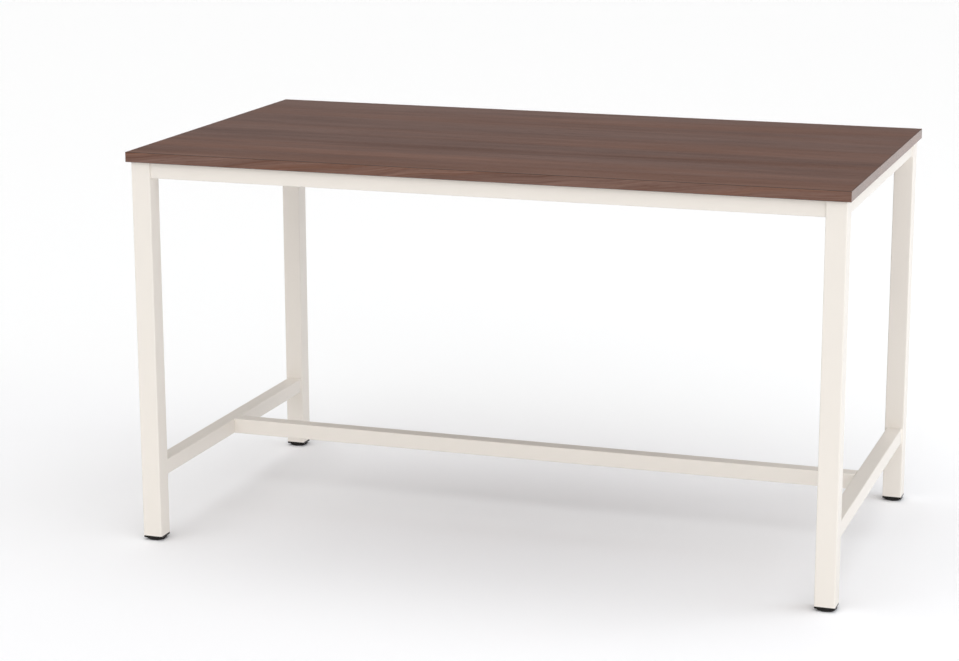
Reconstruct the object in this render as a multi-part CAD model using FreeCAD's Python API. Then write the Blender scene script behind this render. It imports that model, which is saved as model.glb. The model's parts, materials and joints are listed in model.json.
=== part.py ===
"""Standing meeting table: a laminated board on a bolted frame of square steel tube.

Two welded end frames, each of two legs, a top rail and a foot rail, are joined by the front and
back top rails and by the centre stretcher. These three tubes have an end plate welded in each end,
and two screws run through it into a threaded plate inside the leg or the foot rail. The screws are
reached through a slot in the tube's underside. The board lies on the top rails and is screwed down
through angles. Every leg ends in a plastic cap with a nut moulded in, and a threaded stem carries
the round pad that stands on the floor.

Millimetres. The origin is on the floor under the middle of the board, +X runs along the board,
+Y to the back and +Z up. The levelling feet are screwed all the way in.
"""
import FreeCAD, Part
import math
import os

from FreeCAD import Vector

# Board
TOP_LENGTH = 1800.0
TOP_DEPTH = 1000.0
TOP_THICKNESS = 25.0
TABLE_HEIGHT = 1000.0       # floor to the board's upper face
LAMINATE = 0.8              # thickness of the sheet on each face
EDGE_BAND = 2.0             # thickness of the strip on each edge
EDGE_ARRIS = 1.0            # radius of the strip's outer edges

# Frame tubes
LEG_SIDE = 50.0
LEG_WALL = 2.0
RAIL_SIDE = 40.0
RAIL_WALL = 2.0
TUBE_CORNER = 3.0           # outer corner radius of every tube
LEG_SETBACK = 10.0          # board's edge to the leg's outer face
FOOT_RAIL_TOP = 202.0       # floor to the upper face of the foot rails and the stretcher

# Bolted tube ends
END_PLATE = 4.0
PLATE_FIT = 0.1             # end plate to the tube's inner walls
PLATE_CORNER = 2.0          # chamfer of the end plate's corners
NUT_PLATE = 5.0
NUT_PLATE_EDGE = 6.0        # screw's axis to the threaded plate's edge, above and below
NUT_PLATE_WIDTH = 30.0
BOLT_DIAMETER = 6.0
BOLT_HEAD_DIAMETER = 10.0
BOLT_HEAD_HEIGHT = 6.0
BOLT_KEY = 5.0              # socket, across flats
BOLT_KEY_DEPTH = 3.0
BOLT_STICKOUT = 3.4         # screw's end past the threaded plate
WASHER_DIAMETER = 12.0
WASHER_THICKNESS = 1.6
WASHER_TO_WALL = 3.0        # washer's edge to the tube's inner wall
HOLE_CLEARANCE = 0.3        # radial, screws in plain holes
THREAD_CLEARANCE = 0.05     # radial, screws in threads
SLOT_LENGTH = 60.0
SLOT_SIDE_CLEARANCE = 1.0   # washer's edge to the slot's edge
SLOT_TO_HEAD = 2.0          # slot's near end past the screw head

# Board fixings
ANGLE_REACH = 35.0
ANGLE_DROP = 25.0
ANGLE_WIDTH = 30.0
ANGLE_THICKNESS = 3.0
LONG_RAIL_ANGLES = 3
LONG_RAIL_ANGLE_END = 240.0     # rail's end to the first angle's middle
END_RAIL_ANGLES = 2
END_RAIL_ANGLE_END = 200.0
SCREW_DIAMETER = 6.0
SCREW_HEAD_DIAMETER = 12.0
SCREW_HEAD_HEIGHT = 4.0
SCREW_HEAD_ROUND = 1.8
SCREW_KEY = 4.0
SCREW_KEY_DEPTH = 2.5
SCREW_IN_BOARD = 11.4
SCREW_WASHER_DIAMETER = 14.0
SCREW_WASHER_THICKNESS = 1.6
INSERT_DIAMETER = 10.0
INSERT_DEPTH = 13.0

# Levelling feet
PAD_HEIGHT = 6.7
PAD_BASE_DIAMETER = 43.0
PAD_TOP_DIAMETER = 51.0
PAD_LIP = 2.7               # height of the pad's upright rim, above its cone
PAD_ROUND = 1.0             # radius of the pad's outer edges
PAD_FLOOR = 2.2             # floor to the socket's bottom
PAD_HOLLOW_DIAMETER = 32.0
PAD_HOLLOW_DEPTH = 0.8
PAD_RIM = 3.0               # wall round the pad's upper hollow, measured across
PAD_HUB_WALL = 3.0          # wall round the socket
PAD_TO_CAP = 0.3
STEM_DIAMETER = 8.0
STEM_PITCH = 1.25
STEM_TURNS = 8              # from fully in to fully out
STEM_SPARE = 10.0           # stem above the nut when the foot is fully out
STEM_CHAMFER = 0.8
STEM_HEAD_DIAMETER = 13.0
STEM_HEAD_HEIGHT = 2.5
SOCKET_CLEARANCE = 0.05     # radial, stem head in the pad's socket
SOCKET_END_CLEARANCE = 0.1
NECK_CLEARANCE = 0.3        # radial, stem in the socket's lip
COLLAR_FLATS = 13.0
COLLAR_HEIGHT = 4.0
COLLAR_GAP = 0.3            # above and below the collar
COLLAR_SIDE_GAP = 0.6
CAP_FLANGE = 5.0
CAP_WEB = 3.0               # plastic above and below the nut
CAP_HUB_WALL = 2.0
CAP_BORE_CLEARANCE = 0.5
FOOT_NUT_FLATS = 13.0
FOOT_NUT_HEIGHT = 6.5
PLUG_DEPTH = 18.0
PLUG_WALL = 2.0
PLUG_CLEARANCE = 0.3
PLUG_RIB = 2.0
FIN_COUNT = 3
FIN_THICKNESS = 1.0
FIN_CORNER_GAP = 0.5        # fin's corner radius over the tube's inner corner radius

CUT_EXTRA = 1.0             # how far a cutting tool runs past a face
PARALLEL_SLACK = 1e-6       # sine of the angle that two parallel edges may differ by

# Levels, from the floor up
CAP_BOTTOM = PAD_HEIGHT + PAD_TO_CAP
LEG_BOTTOM = CAP_BOTTOM + CAP_FLANGE
LEG_TOP = TABLE_HEIGHT - TOP_THICKNESS
TOP_RAIL_MIDDLE = LEG_TOP - RAIL_SIDE / 2
FOOT_RAIL_MIDDLE = FOOT_RAIL_TOP - RAIL_SIDE / 2
COLLAR_BOTTOM = PAD_HEIGHT + COLLAR_GAP
COLLAR_TOP = COLLAR_BOTTOM + COLLAR_HEIGHT
RECESS_TOP = COLLAR_TOP + COLLAR_GAP
FOOT_NUT_BOTTOM = RECESS_TOP + CAP_WEB
FOOT_NUT_TOP = FOOT_NUT_BOTTOM + FOOT_NUT_HEIGHT
HUB_TOP = FOOT_NUT_TOP + CAP_WEB
STEM_TRAVEL = STEM_PITCH * STEM_TURNS
STEM_TOP = FOOT_NUT_TOP + STEM_TRAVEL + STEM_SPARE

# Plan positions, from the middle of the table
LEG_X = TOP_LENGTH / 2 - LEG_SETBACK - LEG_SIDE / 2
LEG_Y = TOP_DEPTH / 2 - LEG_SETBACK - LEG_SIDE / 2
LONG_RAIL_END = LEG_X - LEG_SIDE / 2
END_RAIL_END = LEG_Y - LEG_SIDE / 2
STRETCHER_END = LEG_X - RAIL_SIDE / 2

RAIL_BORE = RAIL_SIDE - 2 * RAIL_WALL
LEG_BORE = LEG_SIDE - 2 * LEG_WALL
BOLT_OFFSET = RAIL_BORE / 2 - WASHER_TO_WALL - WASHER_DIAMETER / 2
BOLT_HOLE_RADIUS = BOLT_DIAMETER / 2 + HOLE_CLEARANCE

X_AXIS = Vector(1, 0, 0)
Y_AXIS = Vector(0, 1, 0)
Z_AXIS = Vector(0, 0, 1)
UPRIGHT = FreeCAD.Rotation()
ALONG_X = FreeCAD.Rotation(Y_AXIS, 90)
ALONG_Y = FreeCAD.Rotation(X_AXIS, -90)

SIDES = {"left": -1, "right": 1}
ENDS = {"front": -1, "back": 1}


# ---------------------------------------------------------------- helpers

def placed(shape, position, rotation=UPRIGHT):
    """Copy of a shape, turned about the origin and then moved to a position."""
    copy = shape.copy()
    copy.Placement = FreeCAD.Placement(position, rotation).multiply(shape.Placement)
    return copy


def block(low, high):
    """Box between its lowest and highest corner."""
    size = high - low
    return Part.makeBox(size.x, size.y, size.z, low)


def rod(radius, bottom, top):
    """Upright cylinder on the Z axis."""
    return Part.makeCylinder(radius, top - bottom, Vector(0, 0, bottom))


def edges_along(shape, axis):
    """Straight edges that run parallel to an axis."""
    found = []
    for edge in shape.Edges:
        span = edge.lastVertex().Point - edge.firstVertex().Point
        if span.Length > 0 and span.cross(axis).Length < PARALLEL_SLACK * span.Length:
            found.append(edge)
    return found


def square_bar(side, corner, bottom, top):
    """Upright square bar on the Z axis, with rounded corners."""
    half = side / 2
    bar = block(Vector(-half, -half, bottom), Vector(half, half, top))
    if corner <= 0:
        return bar
    return bar.makeFillet(corner, edges_along(bar, Z_AXIS))


def bore_corner(wall):
    """Corner radius inside a tube: concentric with the outside, or sharp in a thick wall."""
    return max(TUBE_CORNER - wall, 0.0)


def square_tube(side, wall, length):
    """Square tube on the Z axis, from z = 0."""
    outside = square_bar(side, TUBE_CORNER, 0, length)
    inside = square_bar(side - 2 * wall, bore_corner(wall), -CUT_EXTRA, length + CUT_EXTRA)
    return outside.cut(inside)


def corner_radius(flats):
    """Radius of the circle round a hexagon, from its width across flats."""
    return flats / math.sqrt(3)


def hexagon_bar(flats, bottom, top):
    """Upright hexagonal bar on the Z axis, with two flats square to Y."""
    radius = corner_radius(flats)
    angles = [math.radians(60 * corner) for corner in range(7)]
    points = [Vector(radius * math.cos(a), radius * math.sin(a), bottom) for a in angles]
    face = Part.Face(Part.makePolygon(points))
    return face.extrude(Vector(0, 0, top - bottom))


def washer(diameter, thickness, hole_radius):
    """Flat washer on the Z axis, from z = 0."""
    disc = rod(diameter / 2, 0, thickness)
    return disc.cut(rod(hole_radius, -CUT_EXTRA, thickness + CUT_EXTRA))


def at_places(shapes, places):
    """Copies of some shapes at each place. A place is a position and a turn about Z in degrees."""
    return [placed(shape, position, FreeCAD.Rotation(Z_AXIS, turn))
            for position, turn in places for shape in shapes]


def spread(count, reach):
    """Positions of copies, evenly spaced from -reach to reach."""
    if count == 1:
        return [0.0]
    step = 2 * reach / (count - 1)
    return [step * index - reach for index in range(count)]


def write_node(name, *shapes):
    """Write one node: every solid of the given shapes, in one STEP file."""
    solids = [solid for shape in shapes for solid in shape.Solids]
    whole = solids[0] if len(solids) == 1 else Part.makeCompound(solids)
    whole.exportStep(os.path.join("parts", name + ".step"))
    print(name, len(solids), "solids", round(whole.Volume / 1000, 2), "cm3")


# ---------------------------------------------------------------- board

def angle_places():
    """Place of each fixing angle on the rails' inner faces, with the turn that faces it inwards.

    An angle is drawn on a rail that lies along X at the front, so it reaches towards +Y.
    """
    inner_x = LEG_X - RAIL_SIDE / 2
    inner_y = LEG_Y - RAIL_SIDE / 2
    places = []
    for x in spread(LONG_RAIL_ANGLES, LONG_RAIL_END - LONG_RAIL_ANGLE_END):
        places.append((Vector(x, -inner_y, LEG_TOP), 0))
        places.append((Vector(x, inner_y, LEG_TOP), 180))
    for y in spread(END_RAIL_ANGLES, END_RAIL_END - END_RAIL_ANGLE_END):
        places.append((Vector(inner_x, y, LEG_TOP), 90))
        places.append((Vector(-inner_x, y, LEG_TOP), -90))
    return places


def at_each_angle(shape):
    """Copies of a shape, one at each fixing angle."""
    return at_places([shape], angle_places())


def angle_hole():
    """Axis of the angle's hole: the middle of the flat that lies under the board."""
    return Vector(0, (ANGLE_THICKNESS + ANGLE_REACH) / 2, 0)


def board_sheet(bottom, top):
    """One layer of the board inside its edge bands, between two heights."""
    half_length = TOP_LENGTH / 2 - EDGE_BAND
    half_depth = TOP_DEPTH / 2 - EDGE_BAND
    return block(Vector(-half_length, -half_depth, bottom), Vector(half_length, half_depth, top))


def insert_pockets():
    """Cutting tools for the holes that the threaded inserts sit in."""
    radius = INSERT_DIAMETER / 2 + THREAD_CLEARANCE
    pocket = placed(rod(radius, -CUT_EXTRA, INSERT_DEPTH), angle_hole())
    return at_each_angle(pocket)


def top_core():
    """Particle board between the two laminates, with the insert holes in its underside."""
    return board_sheet(LEG_TOP + LAMINATE, TABLE_HEIGHT - LAMINATE).cut(insert_pockets())


def top_backing():
    """Laminate on the underside, drilled for the inserts."""
    return board_sheet(LEG_TOP, LEG_TOP + LAMINATE).cut(insert_pockets())


def top_laminate():
    """Wood-print laminate on the upper face."""
    return board_sheet(TABLE_HEIGHT - LAMINATE, TABLE_HEIGHT)


def long_edge_band(end):
    """Edge strip along the front or back. It covers the ends of the two short strips."""
    outer = end * TOP_DEPTH / 2
    low_y, high_y = sorted((outer, outer - end * EDGE_BAND))
    half = TOP_LENGTH / 2
    strip = block(Vector(-half, low_y, LEG_TOP), Vector(half, high_y, TABLE_HEIGHT))
    outer_face = max(strip.Faces, key=lambda face: end * face.CenterOfMass.y)
    return strip.makeFillet(min(EDGE_ARRIS, EDGE_BAND / 2), outer_face.Edges)


def short_edge_band(side):
    """Edge strip at the left or right end, between the long strips."""
    outer = side * TOP_LENGTH / 2
    low_x, high_x = sorted((outer, outer - side * EDGE_BAND))
    half = TOP_DEPTH / 2 - EDGE_BAND
    strip = block(Vector(low_x, -half, LEG_TOP), Vector(high_x, half, TABLE_HEIGHT))
    outer_face = max(strip.Faces, key=lambda face: side * face.CenterOfMass.x)
    return strip.makeFillet(min(EDGE_ARRIS, EDGE_BAND / 2), edges_along(outer_face, Y_AXIS))


# ---------------------------------------------------------------- board fixings

def fixing_angle():
    """Steel angle: one flat is welded to the rail, the other lies under the board."""
    half = ANGLE_WIDTH / 2
    flat = block(Vector(-half, 0, -ANGLE_THICKNESS), Vector(half, ANGLE_REACH, 0))
    upright = block(Vector(-half, 0, -ANGLE_DROP), Vector(half, ANGLE_THICKNESS, 0))
    hole = placed(rod(SCREW_DIAMETER / 2 + HOLE_CLEARANCE, -ANGLE_THICKNESS - CUT_EXTRA, CUT_EXTRA),
                  angle_hole())
    return flat.fuse(upright).removeSplitter().cut(hole)


def fixing_washer():
    """Washer between the screw's head and the angle."""
    ring = washer(SCREW_WASHER_DIAMETER, SCREW_WASHER_THICKNESS, SCREW_DIAMETER / 2 + HOLE_CLEARANCE)
    return placed(ring, angle_hole() - Z_AXIS * (ANGLE_THICKNESS + SCREW_WASHER_THICKNESS))


def fixing_screw():
    """Machine screw from below, with a rounded head and a hexagon socket."""
    seat = -ANGLE_THICKNESS - SCREW_WASHER_THICKNESS
    bottom = seat - SCREW_HEAD_HEIGHT
    head = rod(SCREW_HEAD_DIAMETER / 2, bottom, seat)
    rim = min(head.Edges, key=lambda edge: edge.BoundBox.ZMax)
    head = head.makeFillet(min(SCREW_HEAD_ROUND, SCREW_HEAD_HEIGHT / 2), [rim])
    key = hexagon_bar(SCREW_KEY, bottom - CUT_EXTRA, bottom + SCREW_KEY_DEPTH)
    shank = rod(SCREW_DIAMETER / 2, seat, SCREW_IN_BOARD)
    return placed(head.cut(key).fuse(shank).removeSplitter(), angle_hole())


def threaded_insert():
    """Steel bush in the board's underside, threaded for the fixing screw."""
    return placed(washer(INSERT_DIAMETER, INSERT_DEPTH, SCREW_DIAMETER / 2 + THREAD_CLEARANCE),
                  angle_hole())


# ---------------------------------------------------------------- bolted tube ends

def end_places(end, y, z):
    """Place of the joint at both ends of a tube along X, with the turn that points it outwards.

    A joint is drawn with the tube's end at x = 0 and the leg or foot rail beyond it, towards +X.
    """
    return [(Vector(end, y, z), 0), (Vector(-end, y, z), 180)]


def top_rail_places():
    """The four joints between the long top rails and the legs."""
    front = end_places(LONG_RAIL_END, -LEG_Y, TOP_RAIL_MIDDLE)
    back = end_places(LONG_RAIL_END, LEG_Y, TOP_RAIL_MIDDLE)
    return front + back


def stretcher_places():
    """The two joints between the stretcher and the foot rails."""
    return end_places(STRETCHER_END, 0, FOOT_RAIL_MIDDLE)


def bolt_pair(shape):
    """A shape drawn on the Z axis, laid along X at the upper and at the lower screw."""
    return [placed(shape, Vector(0, 0, side * BOLT_OFFSET), ALONG_X) for side in (1, -1)]


def end_plate():
    """Plate welded into the tube's end, flush with it."""
    half = RAIL_BORE / 2 - PLATE_FIT
    plate = block(Vector(-END_PLATE, -half, -half), Vector(0, half, half))
    plate = plate.makeChamfer(PLATE_CORNER, edges_along(plate, X_AXIS))
    return plate.cut(bolt_pair(rod(BOLT_HOLE_RADIUS, -END_PLATE - CUT_EXTRA, CUT_EXTRA)))


def nut_plate(wall):
    """Threaded plate behind the wall that the tube is bolted to."""
    half_width = NUT_PLATE_WIDTH / 2
    half_height = BOLT_OFFSET + NUT_PLATE_EDGE
    plate = block(Vector(wall, -half_width, -half_height),
                  Vector(wall + NUT_PLATE, half_width, half_height))
    thread = rod(BOLT_DIAMETER / 2 + THREAD_CLEARANCE, wall - CUT_EXTRA, wall + NUT_PLATE + CUT_EXTRA)
    return plate.cut(bolt_pair(thread))


def wall_holes(wall):
    """Cutting tools for the screw holes in the wall that the tube is bolted to."""
    return bolt_pair(rod(BOLT_HOLE_RADIUS, -CUT_EXTRA, wall + CUT_EXTRA))


def joint_bolts(wall):
    """The two socket head screws of a joint through a wall."""
    seat = -END_PLATE - WASHER_THICKNESS
    bottom = seat - BOLT_HEAD_HEIGHT
    head = rod(BOLT_HEAD_DIAMETER / 2, bottom, seat)
    key = hexagon_bar(BOLT_KEY, bottom - CUT_EXTRA, bottom + BOLT_KEY_DEPTH)
    shank = rod(BOLT_DIAMETER / 2, seat, wall + NUT_PLATE + BOLT_STICKOUT)
    return bolt_pair(head.cut(key).fuse(shank).removeSplitter())


def joint_washers():
    """The washers under the two screw heads."""
    ring = washer(WASHER_DIAMETER, WASHER_THICKNESS, BOLT_HOLE_RADIUS)
    return bolt_pair(placed(ring, Vector(0, 0, -END_PLATE - WASHER_THICKNESS)))


def access_slot():
    """Cutting tool for the slot in the tube's underside, where the key reaches the screws."""
    radius = WASHER_DIAMETER / 2 + SLOT_SIDE_CLEARANCE
    near = -END_PLATE - WASHER_THICKNESS - BOLT_HEAD_HEIGHT - SLOT_TO_HEAD - radius
    far = near - SLOT_LENGTH + 2 * radius
    bottom = -RAIL_SIDE / 2 - CUT_EXTRA
    top = -RAIL_SIDE / 2 + RAIL_WALL + CUT_EXTRA
    middle = block(Vector(far, -radius, bottom), Vector(near, radius, top))
    ends = [placed(rod(radius, bottom, top), Vector(x, 0, 0)) for x in (near, far)]
    return middle.fuse(ends)


# ---------------------------------------------------------------- frame tubes

def long_tube(end, y, z, places):
    """Tube along X between two joints, with its two access slots."""
    tube = placed(square_tube(RAIL_SIDE, RAIL_WALL, 2 * end), Vector(-end, y, z), ALONG_X)
    return tube.cut(at_places([access_slot()], places))


def end_tube(side, z):
    """Tube along Y between the front and back leg of one end frame."""
    start = Vector(side * LEG_X, -END_RAIL_END, z)
    return placed(square_tube(RAIL_SIDE, RAIL_WALL, 2 * END_RAIL_END), start, ALONG_Y)


def leg(side, end):
    """Leg with the screw holes for its top rail."""
    tube = square_tube(LEG_SIDE, LEG_WALL, LEG_TOP - LEG_BOTTOM)
    tube = placed(tube, Vector(side * LEG_X, end * LEG_Y, LEG_BOTTOM))
    return tube.cut(at_places(wall_holes(LEG_WALL), top_rail_places()))


def foot_rail(side):
    """Low tube of an end frame, with the screw holes for the stretcher."""
    return end_tube(side, FOOT_RAIL_MIDDLE).cut(at_places(wall_holes(RAIL_WALL), stretcher_places()))


# ---------------------------------------------------------------- levelling feet

def recess_radius():
    """Radius of the hole in the cap's underside that takes in the stem's collar."""
    return corner_radius(COLLAR_FLATS) + COLLAR_SIDE_GAP


def plug_side():
    """Side of the cap's plug, inside the leg."""
    return LEG_BORE - 2 * PLUG_CLEARANCE


def plug_fins():
    """Thin fins round the plug that grip the leg's inner walls."""
    corner = bore_corner(LEG_WALL) + FIN_CORNER_GAP
    pitch = PLUG_DEPTH / (FIN_COUNT + 1)
    levels = [LEG_BOTTOM + pitch * (index + 1) for index in range(FIN_COUNT)]
    return [square_bar(LEG_BORE, corner, z - FIN_THICKNESS / 2, z + FIN_THICKNESS / 2) for z in levels]


def end_cap():
    """Plastic cap under the leg: flange, ribbed plug, and a hub round the moulded-in nut."""
    corner = bore_corner(LEG_WALL) + FIN_CORNER_GAP
    plug_top = LEG_BOTTOM + PLUG_DEPTH
    flange = square_bar(LEG_SIDE, TUBE_CORNER, CAP_BOTTOM, LEG_BOTTOM)
    plug = square_bar(plug_side(), corner, LEG_BOTTOM, plug_top)
    hollow = square_bar(plug_side() - 2 * PLUG_WALL, 0, LEG_BOTTOM, plug_top + CUT_EXTRA)
    hub_radius = max(recess_radius(), corner_radius(FOOT_NUT_FLATS)) + CAP_HUB_WALL
    hub = rod(hub_radius, LEG_BOTTOM, HUB_TOP)
    reach = plug_side() / 2 - PLUG_WALL / 2
    rib_top = min(plug_top, HUB_TOP)
    ribs = [block(Vector(-reach, -PLUG_RIB / 2, LEG_BOTTOM), Vector(reach, PLUG_RIB / 2, rib_top)),
            block(Vector(-PLUG_RIB / 2, -reach, LEG_BOTTOM), Vector(PLUG_RIB / 2, reach, rib_top))]
    wall = plug.fuse(plug_fins()).cut(hollow)
    cap = flange.fuse([wall, hub] + ribs).removeSplitter()
    bore = rod(STEM_DIAMETER / 2 + CAP_BORE_CLEARANCE, CAP_BOTTOM - CUT_EXTRA, HUB_TOP + CUT_EXTRA)
    recess = rod(recess_radius(), CAP_BOTTOM - CUT_EXTRA, RECESS_TOP)
    nut_seat = hexagon_bar(FOOT_NUT_FLATS, FOOT_NUT_BOTTOM, FOOT_NUT_TOP)
    return cap.cut([bore, recess, nut_seat])


def foot_nut():
    """Hexagon nut moulded into the cap's hub."""
    nut = hexagon_bar(FOOT_NUT_FLATS, FOOT_NUT_BOTTOM, FOOT_NUT_TOP)
    thread = rod(STEM_DIAMETER / 2 + THREAD_CLEARANCE, FOOT_NUT_BOTTOM - CUT_EXTRA,
                 FOOT_NUT_TOP + CUT_EXTRA)
    return nut.cut(thread)


def foot_stem():
    """Threaded stem: a round head in the pad's socket, a hexagon collar and the shank."""
    head_bottom = PAD_FLOOR + SOCKET_END_CLEARANCE
    head = rod(STEM_HEAD_DIAMETER / 2, head_bottom, head_bottom + STEM_HEAD_HEIGHT)
    shank = rod(STEM_DIAMETER / 2, head_bottom, STEM_TOP)
    tip = max(shank.Edges, key=lambda edge: edge.BoundBox.ZMin)
    shank = shank.makeChamfer(STEM_CHAMFER, [tip])
    collar = hexagon_bar(COLLAR_FLATS, COLLAR_BOTTOM, COLLAR_TOP)
    return shank.fuse([head, collar]).removeSplitter()


def pad_bowl(inset, bottom, top):
    """The pad's outline between two heights, narrower by an inset: a cone, then an upright rim."""
    lip_bottom = PAD_HEIGHT - PAD_LIP
    rim_radius = PAD_TOP_DIAMETER / 2 - inset
    if bottom >= lip_bottom:
        return rod(rim_radius, bottom, top)
    widening = (PAD_TOP_DIAMETER - PAD_BASE_DIAMETER) / 2 * (lip_bottom - bottom) / lip_bottom
    cone = Part.makeCone(rim_radius - widening, rim_radius, lip_bottom - bottom, Z_AXIS * bottom)
    return cone.fuse(rod(rim_radius, lip_bottom, top)).removeSplitter()


def foot_pad():
    """Round plastic pad with a socket that holds the stem's head, so the stem can turn in it."""
    body = pad_bowl(0, 0, PAD_HEIGHT)
    rims = [edge for edge in body.Edges if edge.isClosed()]
    body = body.makeFillet(PAD_ROUND, rims)
    under = rod(PAD_HOLLOW_DIAMETER / 2, -CUT_EXTRA, PAD_HOLLOW_DEPTH)
    socket_radius = STEM_HEAD_DIAMETER / 2 + SOCKET_CLEARANCE
    socket_top = PAD_FLOOR + STEM_HEAD_HEIGHT + 2 * SOCKET_END_CLEARANCE
    socket = rod(socket_radius, PAD_FLOOR, socket_top)
    neck = rod(STEM_DIAMETER / 2 + NECK_CLEARANCE, PAD_FLOOR, PAD_HEIGHT + CUT_EXTRA)
    trough = pad_bowl(PAD_RIM, PAD_FLOOR, PAD_HEIGHT + CUT_EXTRA)
    trough = trough.cut(rod(socket_radius + PAD_HUB_WALL, 0, PAD_HEIGHT + 2 * CUT_EXTRA))
    return body.cut([under, socket, neck, trough])


# ---------------------------------------------------------------- nodes

def write_board():
    """Layers and edge strips of the board."""
    write_node("top_core", top_core())
    write_node("top_laminate", top_laminate())
    write_node("top_backing", top_backing())
    for name, end in ENDS.items():
        write_node("edge_band_" + name, long_edge_band(end))
    for name, side in SIDES.items():
        write_node("edge_band_" + name, short_edge_band(side))


def write_board_fixings():
    """What holds the board on the rails, ten of each."""
    write_node("top_fixing_angles", *at_each_angle(fixing_angle()))
    write_node("top_fixing_washers", *at_each_angle(fixing_washer()))
    write_node("top_fixing_screws", *at_each_angle(fixing_screw()))
    write_node("top_fixing_inserts", *at_each_angle(threaded_insert()))


def write_frame():
    """Rails and stretcher."""
    for name, end in ENDS.items():
        rail = long_tube(LONG_RAIL_END, end * LEG_Y, TOP_RAIL_MIDDLE, top_rail_places())
        write_node("top_rail_" + name, rail)
    write_node("centre_stretcher", long_tube(STRETCHER_END, 0, FOOT_RAIL_MIDDLE, stretcher_places()))
    for name, side in SIDES.items():
        write_node("top_rail_" + name, end_tube(side, TOP_RAIL_MIDDLE))
        write_node("foot_rail_" + name, foot_rail(side))


def write_joints():
    """Plates, screws and washers of the bolted tube ends."""
    for name, host, wall, places in (("top_rail", "leg", LEG_WALL, top_rail_places()),
                                     ("stretcher", "foot_rail", RAIL_WALL, stretcher_places())):
        write_node(name + "_end_plates", *at_places([end_plate()], places))
        write_node(host + "_nut_plates", *at_places([nut_plate(wall)], places))
        write_node(name + "_bolts", *at_places(joint_bolts(wall), places))
        write_node(name + "_washers", *at_places(joint_washers(), places))


def write_corners():
    """Legs and levelling feet. The four feet are alike."""
    cap, nut, stem, pad = end_cap(), foot_nut(), foot_stem(), foot_pad()
    nuts = []
    for end_name, end in ENDS.items():
        for side_name, side in SIDES.items():
            corner = end_name + "_" + side_name
            axis = Vector(side * LEG_X, end * LEG_Y, 0)
            write_node("leg_" + corner, leg(side, end))
            write_node("end_cap_" + corner, placed(cap, axis))
            write_node("foot_stem_" + corner, placed(stem, axis))
            write_node("foot_pad_" + corner, placed(pad, axis))
            nuts.append(placed(nut, axis))
    write_node("foot_nuts", *nuts)


os.makedirs("parts", exist_ok=True)
write_board()
write_board_fixings()
write_frame()
write_joints()
write_corners()
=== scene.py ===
# %% [markdown]
# # A standing meeting table, dressed
#
# The table comes out of its construction model: a laminated board on a frame of square steel tube,
# with four levelling feet. Every piece has its real size and place already. This lesson gives each
# piece its finish, which is a walnut print, powder coat, zinc plate or moulded plastic. It also adds
# what a construction model leaves out: the weld beads and the screw threads.
#
# Blender counts in metres, and +Z is up.

# %% Load the construction pieces
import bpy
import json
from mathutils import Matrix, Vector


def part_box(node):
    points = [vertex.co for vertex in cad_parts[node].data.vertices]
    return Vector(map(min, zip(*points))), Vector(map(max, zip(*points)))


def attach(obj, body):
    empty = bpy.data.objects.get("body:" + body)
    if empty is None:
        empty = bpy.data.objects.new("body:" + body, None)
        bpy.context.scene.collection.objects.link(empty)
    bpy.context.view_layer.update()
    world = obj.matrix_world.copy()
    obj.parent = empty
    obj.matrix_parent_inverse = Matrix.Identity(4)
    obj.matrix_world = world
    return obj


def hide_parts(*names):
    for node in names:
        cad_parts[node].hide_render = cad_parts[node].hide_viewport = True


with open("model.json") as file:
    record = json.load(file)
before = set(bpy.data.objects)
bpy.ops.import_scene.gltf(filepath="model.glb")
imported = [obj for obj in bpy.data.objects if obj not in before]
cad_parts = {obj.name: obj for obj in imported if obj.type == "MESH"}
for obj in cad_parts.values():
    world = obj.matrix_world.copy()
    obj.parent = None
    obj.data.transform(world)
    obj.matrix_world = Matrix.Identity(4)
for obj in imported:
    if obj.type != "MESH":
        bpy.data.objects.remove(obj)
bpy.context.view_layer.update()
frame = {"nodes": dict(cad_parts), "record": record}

import json
import math

import bpy
import numpy as np
from mathutils import Vector

# %% [markdown]
# ## Sizes that the finishes need
#
# A finish that follows the shape, such as the glue line along the board's edge, needs the shape's
# size. Typing it again would let the two drift apart, so it is read from the boxes of the pieces.

# %% Read the sizes from the pieces
MM = 0.001

sheet_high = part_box("top_laminate")[1]
leg_low, leg_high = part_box("leg_back_right")
foot_rail_low, foot_rail_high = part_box("foot_rail_right")
top_rail_low, top_rail_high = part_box("top_rail_right")

leg_x, leg_y = (leg_low.x + leg_high.x) / 2, (leg_low.y + leg_high.y) / 2
rail_side = foot_rail_high.x - foot_rail_low.x
print(f"leg axes at x = {leg_x:.3f} m and y = {leg_y:.3f} m, rails {rail_side / MM:.0f} mm square")

# %% [markdown]
# ## The camera
#
# Furniture is pictured from a few metres away with a long lens, so that upright legs stay upright. A
# camera in Blender looks down its own -Z axis. A quarter turn about X makes it look along +Y, and the
# two angles below turn it on from there. The lens is given in millimetres for a sensor 36 mm wide,
# and the shift slides the picture sideways without turning the camera.

# %% Place the camera
PICTURE_WIDTH = 959
SENSOR_WIDTH = 36           # millimetres
FOCAL_PIXELS = 2475.1       # from the eye to the picture, in the picture's pixels
LENS_AXIS_COLUMN = 505.0    # where the lens axis meets the picture
CAMERA_PLACE = (1.8726, -5.9277, 1.9566)
CAMERA_TURN = 18.244        # degrees from +Y towards -X
CAMERA_DIP = 13.151         # degrees below the horizon

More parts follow.
